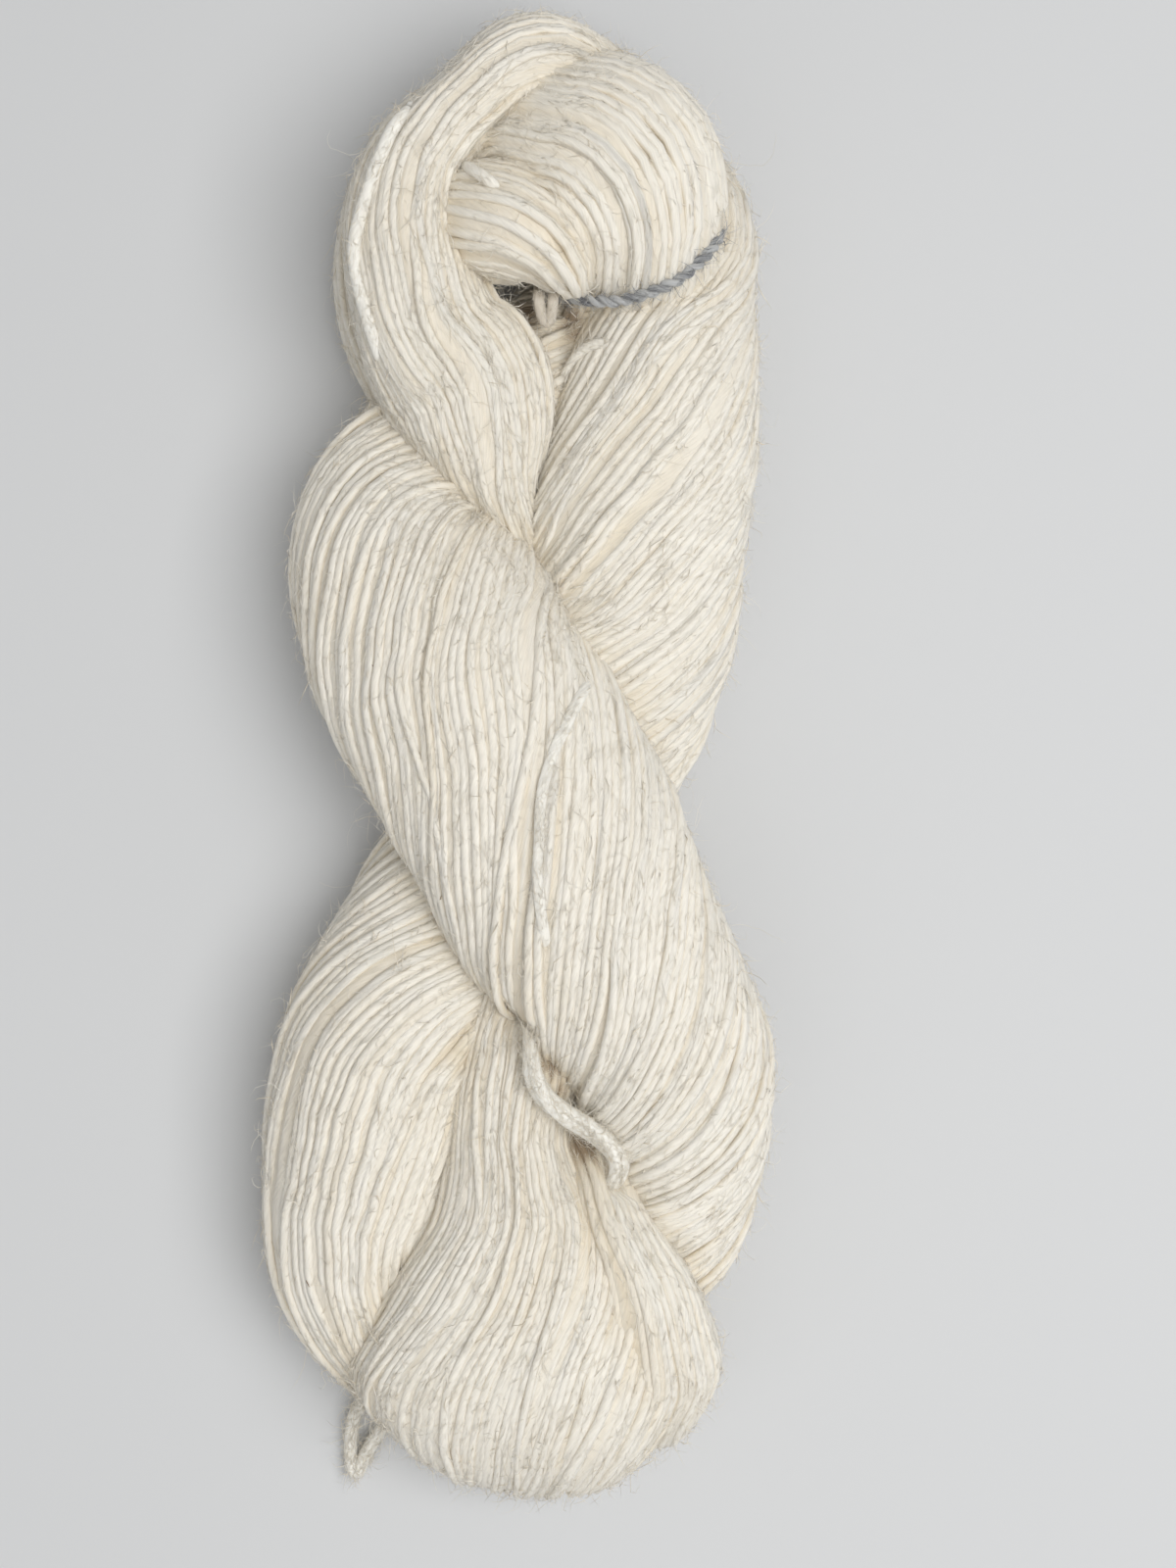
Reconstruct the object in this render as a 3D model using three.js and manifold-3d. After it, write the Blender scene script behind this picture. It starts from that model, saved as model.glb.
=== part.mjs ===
// A hank of handspun wool: a ring of yarn that was twisted, folded in half and left to ply
// back on itself, with one end of the ring tucked through the other. It lies flat on a table.
// Millimetres, +Z up. The tucked end points along +Y, and z = 0 is the table.
import * as THREE from "three";
import { mergeVertices } from "three/addons/utils/BufferGeometryUtils.js";
import Module from "manifold-3d";

// Driving dimensions
const YARN = 1.8; // the yarn's diameter
const LOOSE_END = 3.4; // the same yarn where it was left thick and hardly twisted
const RIDGE = 1.1; // how far a group of yarns stands out of the furrows beside it
const RIDGE_WIDTH = 11; // from one furrow to the next
const RING_STEP = 6.5; // between the rings of points along a lobe
const FLATTENED = 1.6; // how much of the underside the table has pressed flat
const CLEARANCE = 0.3; // between the hank and the yarns that lie in it
const HANK_MIDDLE = new THREE.Vector3(0.24, -0.73, 0); // of the tables below, moved to the origin

const WOOL = { color: 0xe9e2d3, roughness: 0.95, metalness: 0 };
const BLEACHED_WOOL = { color: 0xf1ede4, roughness: 0.95, metalness: 0 };
const GREY_WOOL = { color: 0x85878a, roughness: 0.9, metalness: 0 };

// The lobes of the hank. A row is one cross-section: the middle of the bundle of yarns, half
// its width, half its thickness, and how far its yarns have turned about it by then, in degrees.
// A level lobe keeps its width level. The fold keeps it across the hank as it turns under.
const LOBE_COLUMNS = ["x", "y", "z", "wide", "thick", "turn"];
const LOBES = {
  // One end of the ring, opened into an eye: out of the V, up its left side, over the top,
  // down its right side, under the other ply and out at the lower left
  eyePly: {
    level: true,
    rows: [
      [14, 26, 15, 8, 8, 0],
      [7, 38, 18, 8, 10, 0],
      [-1, 51, 24, 10, 13, 0],
      [-8, 67, 29, 16, 15, 0],
      [-12.5, 82, 30, 19, 16, 0],
      [-18.5, 100, 29, 13.5, 16, 0],
      [-15, 117, 30, 10, 14, 0],
      [-7, 129, 31, 8.5, 12, 0],
      [4, 136, 31, 8, 10, 0],
      [15, 134, 27, 7.5, 9, 0],
      [25, 128, 20, 9, 9, 0],
      [32, 118, 15.5, 12, 12, -20],
      [34.5, 103, 17, 14.5, 15, -45],
      [31, 86, 19, 18.5, 17, -75],
      [27.5, 66, 21, 21.5, 18, -110],
      [24, 45, 21, 22.5, 17, -150],
      [20.5, 24, 19, 24, 16, -195],
      [12, 3, 16, 23, 16, -245],
      [0, -17, 15, 22, 15, -300],
      [-14, -36, 17, 21.5, 16, -355],
      [-25, -57, 20, 20.5, 18, -405],
      [-31, -80, 20, 19, 17, -440],
      [-32, -101, 18, 17, 16, -460],
      [-22, -118, 15, 14, 14, -475],
      [-8, -128, 13, 12, 12, -490],
    ],
  },
  // The ring's other end, which comes up through the eye as a round knob, goes down again
  // under the eye's left side and crosses the front to the lower right
  tuckedPly: {
    level: true,
    rows: [
      [-12, 62, 14, 9, 10, 0],
      [-19, 77, 14, 11, 12, 0],
      [-20, 92, 15, 12, 13, 0],
      [-17, 106, 19, 14, 14, 0],
      [-7, 115, 25, 19, 16, 0],
      [6, 117, 30, 23, 18, 0],
      [18, 111, 33, 24, 19, 0],
      [25, 101, 29, 19, 17, 0],
      [22.5, 93, 19, 17, 13, 0],
      [13.5, 84, 14, 16, 13, -10],
      [2, 74, 15, 17, 15, -50],
      [-11, 63, 17, 18, 16, -100],
      [-21, 46, 22, 22, 18, -150],
      [-16, 22, 28, 25, 18, -195],
      [-1.5, -3, 32, 26, 17, -245],
      [13, -30, 32, 26, 17, -305],
      [27, -55, 28, 23, 17, -370],
      [33, -77, 22, 18, 17, -440],
      [28, -97, 16, 15, 15, -510],
      [14, -108, 12, 12, 12, -560],
    ],
  },
  // The closed end: yarns fan out of the crossing, over the end and back underneath
  bottomFold: {
    level: false,
    rows: [
      [18, -40, 26, 9, 8, 0],
      [13, -59, 25, 13, 11, -4],
      [6, -79, 27, 21, 14, -8],
      [4.5, -99, 29, 30, 16, -12],
      [4, -117, 28, 37.5, 16, -16],
      [5, -131, 22, 34, 14, -20],
      [6, -131, 12, 30, 12, -24],
      [10, -117, 9, 24, 10, -28],
      [18, -101, 10, 18, 10, -32],
      [24, -88, 12, 15, 9, -36],
      [28, -77, 14, 12, 8, -40],
    ],
  },
};

// The yarns that lie free on the hank: the middle of each, from end to end
const ROUTES = {
  // Round the neck of the tucked loop, from the hollow up into the cleft on the right
  tie: [
    [6, 93, 12],
    [8, 91, 17.5],
    [11, 89, 24],
    [15, 87.4, 30],
    [20, 87.2, 34.2],
    [26, 88.4, 37],
    [32, 91.1, 38],
    [36.5, 95, 37.2],
    [39.4, 99, 34.8],
    [40.4, 102.5, 29],
  ],
  // Out from under the front ply and along the crease to the fold
  looseEnd: [
    [-2, -46, 35],
    [1, -51, 36.9],
    [3.5, -57, 36.7],
    [6, -63, 36.6],
    [10.5, -67, 37.5],
    [15, -70.5, 37.7],
    [18.6, -74.5, 36.9],
    [20, -78.5, 36],
    [18.8, -82.5, 33],
  ],
  // A small slack bight at the lower left, down on the table
  slackBight: [
    [-23, -122, 4],
    [-27, -127, 3.4],
    [-30, -131.5, 2.6],
    [-32, -136, 1.8],
    [-32.6, -140, 1.4],
    [-31, -143, 1.3],
    [-28, -143.4, 1.4],
    [-26, -140.6, 1.7],
    [-25.2, -137, 2.2],
    [-24, -132, 2.8],
    [-21, -127, 3.4],
  ],
};

const wasm = await Module();
wasm.setup();

// A closed three.js geometry as a solid that can be joined and cut
function solidFrom(geometry) {
  geometry.deleteAttribute("normal");
  geometry.deleteAttribute("uv");
  const merged = mergeVertices(geometry, 1e-4);
  return new wasm.Manifold(
    new wasm.Mesh({
      numProp: 3,
      vertProperties: merged.attributes.position.array,
      triVerts: new Uint32Array(merged.index.array),
    }),
  );
}

function geometryFrom(solid) {
  const { vertProperties, triVerts } = solid.getMesh();
  const geometry = new THREE.BufferGeometry();
  geometry.setAttribute("position", new THREE.BufferAttribute(vertProperties, 3));
  geometry.setIndex(new THREE.BufferAttribute(triVerts, 1));
  geometry.computeVertexNormals();
  return geometry;
}

// A value of a lobe's row by the name of its column
function column(row, name) {
  return row[LOBE_COLUMNS.indexOf(name)];
}

// Smooth curves through a lobe's rows: one for its middle, one for its size and turn
function lobeCurves({ rows }) {
  const curve = (...names) =>
    new THREE.CatmullRomCurve3(
      rows.map((row) => new THREE.Vector3(...names.map((name) => column(row, name)))),
      false,
      "catmullrom",
    );
  return { middle: curve("x", "y", "z"), shape: curve("wide", "thick", "turn") };
}

// Which way a cross-section's width and thickness point
function sectionAxes(middle, along, level) {
  const ahead = middle.getTangent(along);
  const side = level
    ? new THREE.Vector3().crossVectors(ahead, new THREE.Vector3(0, 0, 1))
    : new THREE.Vector3(-1, 0, 0).addScaledVector(ahead, ahead.x);
  side.normalize();
  return { side, over: new THREE.Vector3().crossVectors(side, ahead) };
}

// The angle of an ellipse at a share of the way round its edge
function ellipseAngle(share, wide, thick) {
  const steps = 180;
  const lengths = [0];
  for (let i = 0; i < steps; i++) {
    const angle = ((i + 0.5) / steps) * 2 * Math.PI;
    lengths.push(lengths[i] + Math.hypot(wide * Math.sin(angle), thick * Math.cos(angle)));
  }
  const target = THREE.MathUtils.euclideanModulo(share, 1) * lengths[steps];
  const next = Math.max(1, lengths.findIndex((length) => length >= target));
  const within = (target - lengths[next - 1]) / (lengths[next] - lengths[next - 1]);
  return ((next - 1 + within) / steps) * 2 * Math.PI;
}

// Counting the spokes backwards mirrors a cylinder, and this turns its faces outward again
function turnedInsideOut(geometry) {
  const corners = geometry.index.array;
  for (let i = 0; i < corners.length; i += 3) {
    [corners[i + 1], corners[i + 2]] = [corners[i + 2], corners[i + 1]];
  }
  return geometry;
}

// A lobe is a cylinder whose rings are set along the middle of the bundle. Every other point
// of a ring lies in a furrow, and the furrows turn with the yarns. The spokes are counted
// backwards, so that the faces' diagonals lean the way the furrows do.
function lobeSolid(lobe) {
  const { middle, shape } = lobeCurves(lobe);
  const girths = lobe.rows.map((row) => Math.PI * (column(row, "wide") + column(row, "thick")));
  const ridges = Math.round(Math.max(...girths) / RIDGE_WIDTH);
  const rings = Math.round(middle.getLength() / RING_STEP);
  const cylinder = new THREE.CylinderGeometry(1, 1, 1, 2 * ridges, rings);
  const position = cylinder.attributes.position;
  const point = new THREE.Vector3();
  for (let i = 0; i < position.count; i++) {
    point.fromBufferAttribute(position, i);
    const along = 0.5 - point.y;
    const { x: wide, y: thick, z: turn } = shape.getPoint(along);
    const { side, over } = sectionAxes(middle, along, lobe.level);
    const around = Math.round((Math.atan2(point.x, point.z) / Math.PI) * ridges);
    const spoke = THREE.MathUtils.euclideanModulo(-around, 2 * ridges);
    const rim = Math.hypot(point.x, point.z) > 0.5 ? 1 : 0;
    const angle = ellipseAngle(spoke / (2 * ridges) + turn / 360, wide, thick);
    const inward = spoke % 2 === 0 ? 0 : RIDGE;
    point
      .copy(middle.getPoint(along))
      .addScaledVector(side, rim * (wide - inward) * Math.cos(angle))
      .addScaledVector(over, rim * (thick - inward) * Math.sin(angle))
      .sub(HANK_MIDDLE);
    point.z -= FLATTENED;
    position.setXYZ(i, point.x, point.y, point.z);
  }
  return solidFrom(turnedInsideOut(cylinder));
}

// A round yarn along its route, or the channel that it lies in
function yarnGeometry(route, diameter, extra = 0) {
  const points = route.map((point) => new THREE.Vector3(...point).sub(HANK_MIDDLE));
  if (extra > 0) {
    const [first, second] = points;
    const [last, beforeLast] = [points.at(-1), points.at(-2)];
    const start = first.clone().add(first.clone().sub(second).setLength(extra));
    points.push(last.clone().add(last.clone().sub(beforeLast).setLength(extra)));
    points.unshift(start);
  }
  const curve = new THREE.CatmullRomCurve3(points);
  const section = new THREE.Shape();
  const sides = 8;
  for (let i = 0; i < sides; i++) {
    const angle = ((i + 0.5) / sides) * 2 * Math.PI;
    const corner = [(diameter / 2 + extra) * Math.cos(angle), (diameter / 2 + extra) * Math.sin(angle)];
    if (i === 0) section.moveTo(...corner);
    else section.lineTo(...corner);
  }
  return new THREE.ExtrudeGeometry(section, {
    steps: Math.round(curve.getLength() / (2 * diameter)),
    extrudePath: curve,
  });
}

// Everything below the table, to be cut off the hank
function tableSolid() {
  const table = new THREE.BoxGeometry(400, 400, 40);
  table.translate(0, 0, -20);
  return solidFrom(table);
}

function part(name, geometry, look) {
  const mesh = new THREE.Mesh(geometry, new THREE.MeshStandardMaterial(look));
  mesh.name = name;
  return mesh;
}

const YARNS = [
  { name: "grey_tie", route: ROUTES.tie, diameter: YARN, look: GREY_WOOL },
  { name: "loose_end", route: ROUTES.looseEnd, diameter: LOOSE_END, look: BLEACHED_WOOL },
  { name: "slack_bight", route: ROUTES.slackBight, diameter: YARN, look: BLEACHED_WOOL },
];

const hank = new THREE.Group();

let wound = Object.values(LOBES)
  .map(lobeSolid)
  .reduce((joined, lobe) => joined.add(lobe))
  .subtract(tableSolid());
for (const { route, diameter } of YARNS) {
  wound = wound.subtract(solidFrom(yarnGeometry(route, diameter, CLEARANCE)));
}
hank.add(part("hank_body", geometryFrom(wound), WOOL));
for (const { name, route, diameter, look } of YARNS) {
  hank.add(part(name, yarnGeometry(route, diameter), look));
}

export default hank;
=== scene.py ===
"""A hank of handspun wool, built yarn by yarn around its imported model.

The hank is a few bundles of yarns. Each bundle has a table of cross-sections, and its yarns lie
side by side on that shape and turn about its middle. Loose fibres stand out of them all round.
Tables and arrays are in millimetres, and a mesh is turned to metres as it is made.
"""

import math
from copy import copy

import bpy
import numpy as np
from bpy.props import FloatProperty, FloatVectorProperty, IntProperty, PointerProperty
from bpy.types import Operator, Panel, PropertyGroup
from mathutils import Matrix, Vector


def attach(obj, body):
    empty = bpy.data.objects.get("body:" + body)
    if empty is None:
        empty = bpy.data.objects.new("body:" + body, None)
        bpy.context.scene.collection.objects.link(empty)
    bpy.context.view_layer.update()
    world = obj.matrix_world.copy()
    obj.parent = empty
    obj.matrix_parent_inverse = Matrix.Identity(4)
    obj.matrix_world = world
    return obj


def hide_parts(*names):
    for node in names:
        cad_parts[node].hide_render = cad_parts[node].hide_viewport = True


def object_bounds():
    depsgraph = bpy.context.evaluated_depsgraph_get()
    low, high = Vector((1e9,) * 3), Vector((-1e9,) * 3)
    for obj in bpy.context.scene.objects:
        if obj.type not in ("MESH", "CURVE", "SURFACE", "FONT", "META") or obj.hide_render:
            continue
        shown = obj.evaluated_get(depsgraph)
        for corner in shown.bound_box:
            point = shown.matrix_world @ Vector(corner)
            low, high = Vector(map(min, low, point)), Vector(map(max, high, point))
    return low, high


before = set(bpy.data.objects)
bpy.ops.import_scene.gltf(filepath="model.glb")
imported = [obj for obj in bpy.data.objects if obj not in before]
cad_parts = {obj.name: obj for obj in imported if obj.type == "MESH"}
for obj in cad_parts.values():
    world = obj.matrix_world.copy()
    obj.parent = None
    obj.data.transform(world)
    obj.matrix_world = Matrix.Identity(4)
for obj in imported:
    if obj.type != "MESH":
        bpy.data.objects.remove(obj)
CAD_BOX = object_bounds()

bl_info = {
    "name": "Handspun hank",
    "version": (1, 0, 0),
    "blender": (4, 5, 0),
    "location": "View3D > Sidebar > Hank",
    "description": "Builds a twisted hank of handspun wool, yarn by yarn",
    "category": "Object",
}

MM = 0.001

# The tables' own middle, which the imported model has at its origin, and how much of the hank's
# underside the table has pressed flat
HANK_MIDDLE = np.array([0.24, -0.73, 0.0])
FLATTENED = 1.6

# The floor's width, and each light's place and width, in metres, and its power in watts
FLOOR_WIDTH = 3.0
LIGHTS = {
    "key_light": ((0.44, -0.1, 1.05), 0.8, 9.4),
    "fill_light": ((-0.5, -0.7, 1.0), 1.2, 1.6),
}
DAYLIGHT_STRENGTH = 0.42
# The camera stands half a metre above the table and a little off the hank's middle, as in the
# photograph. Its focal length and the height of the frame are in the photograph's pixels.
CAMERA_PLACE = (14.56, -4.47, 500)
SENSOR_WIDTH = 36.0
FOCAL_PIXELS = 2470.0
FRAME_PIXELS = 1600.0

# How far apart a bundle's cross-sections lie, and how many sides each kind of skin has
SECTIONS_APART = 2.6
WOUND_SIDES = 6
FREE_SIDES = 12
LOOSE_END_SIDES = 28
FIBRE_SIDES = 3

# How much the wound yarns vary and over what length: in thickness, as a share of it, then in
# how far they stray aside, in yarns, and up or down
LONG_SLUBS = (0.13, 16)
SHORT_SLUBS = (0.07, 5)
UNEVEN_SKIN = (0.07, 4)
ASIDE = (0.35, 18)
UP_AND_DOWN = (0.35, 22)
# Some cross their neighbours, and are raised there
CROSSING = (3.2, 55)
CROSSING_SHARE = 0.2
RAISED = 0.5
# How far groups of yarns crowd together, in yarns, how many groups are round a bundle and how
# long they are, and the same two for the groups that stand out or sink
CROWDING = (1.4, 9, 45)
RELIEF_GROUPS = (11, 55)
# How much of the furrows the web of loose wool fills, how that varies, how much less it is on a
# yarn and more between two, and how much more where it has felted
WEB_COVER = 0.42
WEB_VARIES = (0.38, 22)
WEB_HOLLOW = 0.1
WEB_FELTED = 0.28
# Painted shade, as a warmer tint, where bundles touch and deep between two yarns
CREASE_SHADE_TINT = 0.45
FURROW_SHADE_TINT = 1.1

# How long each kind of fibre is, how steeply it rises, its steps, how much it curls, and how
# many times as thick as the setting it is
LOW_FIBRES = {"length": 3.4, "lift": 0.12, "steps": 2, "curl": 1.0, "thick": 1.4}
HALO_FIBRES = {"length": 4.6, "lift": 0.6, "steps": 4, "curl": 2.4, "thick": 1.2}
LONG_HAIRS = {"length": 14, "lift": 0.45, "steps": 12, "curl": 3.5, "thick": 1.0}
FREE_FIBRES = {"length": 3.0, "lift": 0.25, "steps": 3, "curl": 1.6, "thick": 1.1}
LONG_HAIR_COUNT = 90
STRAW_COUNT = 26
FREE_FIBRE_COUNTS = {
    "tie": 900, "loose_end": 2200, "slack_bight": 1300, "down_the_front": 400, "upper_left": 300,
    "by_the_hollow": 160, "hanging_bight": 160, "over_the_lobe": 80,
}

# A row is one cross-section of a bundle: x, y and z of its middle, half its width, half its
# thickness, and how far its yarns have turned about it by then, in degrees. A level bundle keeps
# its width level. The fold keeps it across the hank as it turns under.
BUNDLES = {
    "eye_ply": {"level": True, "yarns": 64, "rows": [
        (9.5, 26.5, 12, 6, 8, 0),
        (2.8, 38, 15.5, 6.2, 10, 0),
        (-3.2, 51, 23.5, 8, 13, 0),
        (-7, 64.5, 28.3, 15.6, 15, 0),
        (-10.4, 73.5, 29, 17.6, 15.5, 0),
        (-15.6, 81.5, 29.8, 15.2, 16, 0),
        (-19, 92, 30, 13.9, 16, 0),
        (-20.3, 103.5, 30.5, 13, 16, 0),
        (-17.2, 115, 31.5, 11.3, 15, 0),
        (-8.3, 125, 33, 9, 14, 0),
        (3.2, 133.3, 32, 10.6, 13, 0),
        (14.5, 133.3, 25.5, 8.5, 10, 0),
        (24.5, 127, 17, 8, 8, 0),
        (31.5, 116, 14, 11, 11, -20),
        (34.5, 103, 17, 14, 14.5, -45),
        (31, 86, 19, 18.5, 17, -75),
        (27.5, 66, 21, 21.5, 18, -110),
        (24, 45, 21, 22.5, 17, -150),
        (20.5, 24, 19, 24, 16, -195),
        (12, 3, 16, 23, 16, -245),
        (0, -17, 15, 22, 15, -300),
        (-14, -36, 17, 21.5, 16, -355),
        (-22, -57, 20, 24, 18, -400),
        (-26, -80, 20, 24, 17, -416),
        (-29.5, -101, 18, 19.5, 16, -424),
        (-22, -118, 15, 14, 14, -430),
        (-8, -128, 13, 12, 12, -440),
    ]},
    "tucked_ply": {"level": True, "yarns": 70, "rows": [
        (-12, 62, 14, 9, 10, 0),
        (-20, 78, 14, 11, 12, 0),
        (-25, 95, 15, 11, 12, 0),
        (-21, 110, 19, 12, 13, 0),
        (-11, 117.5, 22.5, 14.5, 14, 0),
        (0.5, 119, 26, 17, 15.5, 0),
        (11.5, 116, 31, 21.5, 18, 0),
        (20, 110.5, 33.5, 22.5, 18.5, 0),
        (24.5, 101.5, 29.5, 18, 17, 0),
        (23, 92.5, 19.5, 17, 13, 0),
        (13.5, 84, 14, 16, 13, -5),
        (2, 74, 15, 17, 15, -20),
        (-11, 63, 17, 18, 16, -68),
        (-21, 46, 22, 22, 18, -118),
        (-14.9, 22.4, 28.2, 26.4, 18, -163),
        (-0.8, -2.6, 32, 26.9, 17, -213),
        (14, -30, 32, 25.5, 17, -273),
        (28.5, -55, 28, 21.5, 17, -352),
        (33, -77, 22, 18, 17, -448),
        (28, -97, 16, 15, 15, -535),
        (14, -108, 12, 12, 12, -590),
    ]},
    "bottom_fold": {"level": False, "yarns": 92, "rows": [
        (4, -40, 24, 11, 9, 0),
        (0.5, -60, 26, 14, 11.5, 0),
        (0, -77, 27.5, 14, 13.5, -6),
        (4, -91, 29, 21, 15, -18),
        (3.8, -105, 29.5, 28.6, 16, -32),
        (1.9, -120.5, 27, 33.8, 15.5, -46),
        (3, -131.5, 21, 28.5, 14.5, -60),
        (5, -135, 13.5, 22, 13, -72),
        (9, -123, 9, 21, 10, -80),
        (14, -108, 9, 20, 9.5, -84),
        (20, -96, 10, 17, 9.5, -86),
        (25, -85, 12, 14, 9, -89),
        (28, -77, 14, 12, 8, -92),
    ]},
    "fold_right_group": {"level": False, "yarns": 44, "rows": [
        (9, -64, 20, 5, 6, 0),
        (14, -77, 25.5, 6.5, 8, 0),
        (18.5, -88, 31.5, 7.5, 10.5, 0),
        (23.5, -98, 32, 10, 11.5, 0),
        (27, -108, 30.5, 12, 12, 0),
        (28.3, -118, 26, 13, 12, -4),
        (25.5, -128, 18.5, 11.7, 11, -10),
        (24, -130, 10.5, 10.5, 8, -14),
        (22, -119, 7.5, 10, 6.5, -16),
    ]},
    "knob_lobe": {"level": True, "yarns": 32, "rows": [
        (-12.5, 105.5, 31, 10, 7, 0),
        (-5.2, 103.8, 35.5, 12, 10.5, 0),
        (1.2, 101.9, 37.2, 11.6, 12, 0),
        (6.6, 98.8, 37.3, 10.2, 12, 0),
        (9.6, 95.6, 35.5, 7.5, 10, 0),
        (11.2, 93, 31, 5.2, 8, 0),
        (11.7, 91.2, 24, 4.2, 6, 0),
        (11.7, 90.5, 16, 4, 5, 0),
    ]},
}

# The middles of the yarns that lie free on the hank, from end to end
TIE = [
    (6, 93, 12), (7.6, 91, 21), (10.3, 89.4, 30), (15, 87.7, 35), (20, 87.2, 36.8),
    (26, 88.4, 38), (32, 91.1, 38), (36.5, 95, 37.2), (39.4, 99, 34.8), (40.4, 102.5, 29),
]
LOOSE_END = [
    (1.5, -49.5, 31), (2.9, -52.5, 35.6), (3.7, -56.5, 37.5), (4.6, -61.3, 37.7),
    (6.9, -65.5, 37.3), (10.2, -68.4, 36.4), (14, -70.7, 35.9), (17.3, -72.9, 35.9),
    (19.6, -75.4, 35.2), (20.6, -78.4, 34.6), (19.9, -81.2, 34.3), (18.1, -83.2, 33.8),
    (15.4, -84.2, 32.2),
]
SLACK_BIGHT = [
    (-24, -121, 4), (-29.5, -128, 3.4), (-32.8, -134, 2.8), (-33.9, -139, 2.2),
    (-34, -143.5, 1.9), (-33.6, -146.2, 1.8), (-32.9, -146.9, 1.8), (-32.2, -146, 1.8),
    (-31.2, -143.6, 2), (-29.5, -140.5, 2.4), (-26.5, -136, 2.8), (-22, -130, 3.6),
]

# Slack yarns that lie on the others: how wide and how thick each is, how far it sinks between
# them, how warm its colour is, and where it runs seen from above. Past the warmest wool the colour
# turns to the dust and painted shade of the hollows, as for the bight that hangs in one. Those that
# partly hang free have their heights too.
SLACK_YARNS = {
    "down_the_front": (2.2, 1.0, 0.6, 0.4, [
        (15, 14.8), (13.7, 12.2), (12, 8.7), (8.9, 2.1), (7.6, -1.5), (6.4, -5.6), (5.8, -10.7),
        (5.6, -15.8), (5.4, -23.5), (6.5, -32.7), (8, -41.9), (8.6, -46),
    ]),
    "upper_left": (2.4, 2.0, 0.9, 0.3, [
        (-18.4, 123.8), (-22.6, 117.6), (-27.1, 106.5), (-29.7, 95.7), (-28, 86.1), (-24.2, 74.6),
        (-22.3, 70.9),
    ]),
    "by_the_hollow": (2.0, 1.7, 0, 0.9, [
        (21, 79.4, 33.9), (18.2, 80, 32.3), (15.4, 79.9, 30.2), (13.1, 78.7, 28.4),
        (11.3, 76.6, 27), (9.8, 73.9, 26.1), (8.5, 70.9, 25.6), (7.3, 67.5, 25.5),
        (6.5, 64.3, 25.5), (5.5, 60.9, 25),
    ]),
    "hanging_bight": (2.3, 2.3, 0, 1.7, [
        (5.3, 91, 31), (5.3, 88.5, 34), (5.6, 86.3, 33), (6.1, 84.7, 31.5), (6.8, 84.2, 31),
        (7.5, 84.8, 31.5), (7.9, 86.5, 33), (8.1, 88.5, 34), (8.3, 91, 31),
    ]),
    "over_the_lobe": (2.3, 1.9, 0, 0.4, [
        (-9.6, 113.6, 37), (-7.4, 111.3, 41.8), (-5.9, 109.9, 43.9), (-4.2, 108.5, 44.7),
        (-2.6, 107.3, 44.6), (-1, 106.2, 43.2), (0.6, 105.2, 40.8),
    ]),
}

# Where the yarns' skin has felted: x and y of the middle, and how far round it
FELTED = [
    (0, 120, 11), (14, 128, 10), (-14, 54, 16), (5, 30, 12), (-21.8, -66, 6), (22, -84, 7),
    (-22, -128, 14), (10, -142, 16),
]
# Where dust and painted shade darken the wool in the hollows, pockets and grooves: the middle of
# each patch, how far round it and how dark
DUST_AND_SHADE_SPOTS = [
    (0.6, 88.3, 27, 3.6, 3.4), (2, 87, 20, 5, 3.4), (11.2, 86.8, 28, 2.6, 3.4),
    (12, 85.5, 22, 3, 3.4), (-5, 107, 43, 5, 0.7), (5.8, 115, 44, 1, 2.2),
    (4, 113.5, 43, 2.5, 0.5), (11, 107.5, 44, 2.5, 0.5), (15.5, 99, 43, 2.5, 0.5),
    (-10.5, -57, 33, 3, 1.2), (5, -53.5, 33.5, 2, 2.6), (7.2, -58.8, 33, 2, 3),
    (9.1, -63.3, 32.5, 1.8, 2.6), (12.3, -72.5, 32, 2.2, 2.8), (14.5, -75.8, 31.5, 2.8, 3.2),
    (16, -79, 31, 2.2, 2.4),
]


def length(name, description, millimetres):
    """A length setting, whose default is in millimetres."""
    default = millimetres * MM
    return FloatProperty(name=name, description=description, default=default, unit="LENGTH")


class HankSizes(PropertyGroup):
    """Sizes of the yarns and of the fibres that stand out of them."""

    yarn: length("Yarn", "Diameter of the wound yarn", 1.8)
    loose_end: length("Loose end", "Diameter of the loose end, which was hardly twisted", 3.4)
    relief: length("Relief", "How far groups of yarns stand out of their neighbours or sink", 0.9)
    fibre: length("Fibre", "Diameter of a loose fibre", 0.075)
    fibres: IntProperty(
        name="Fibres", description="Number of loose fibres that lie low on the yarns", default=54000
    )
    halo: IntProperty(
        name="Halo", description="Number of loose fibres that stand out all round", default=9000
    )


def linear(code):
    """An sRGB hex colour as linear red, green, blue and alpha."""
    parts = [int(code[i : i + 2], 16) / 255 for i in (0, 2, 4)]
    return [p / 12.92 if p <= 0.04045 else ((p + 0.055) / 1.055) ** 2.4 for p in parts] + [1.0]


def colour(name, description, code):
    """A colour setting whose default is an sRGB hex colour."""
    return FloatVectorProperty(
        name=name, description=description, subtype="COLOR", size=4, min=0, max=1,
        default=linear(code),
    )


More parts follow.
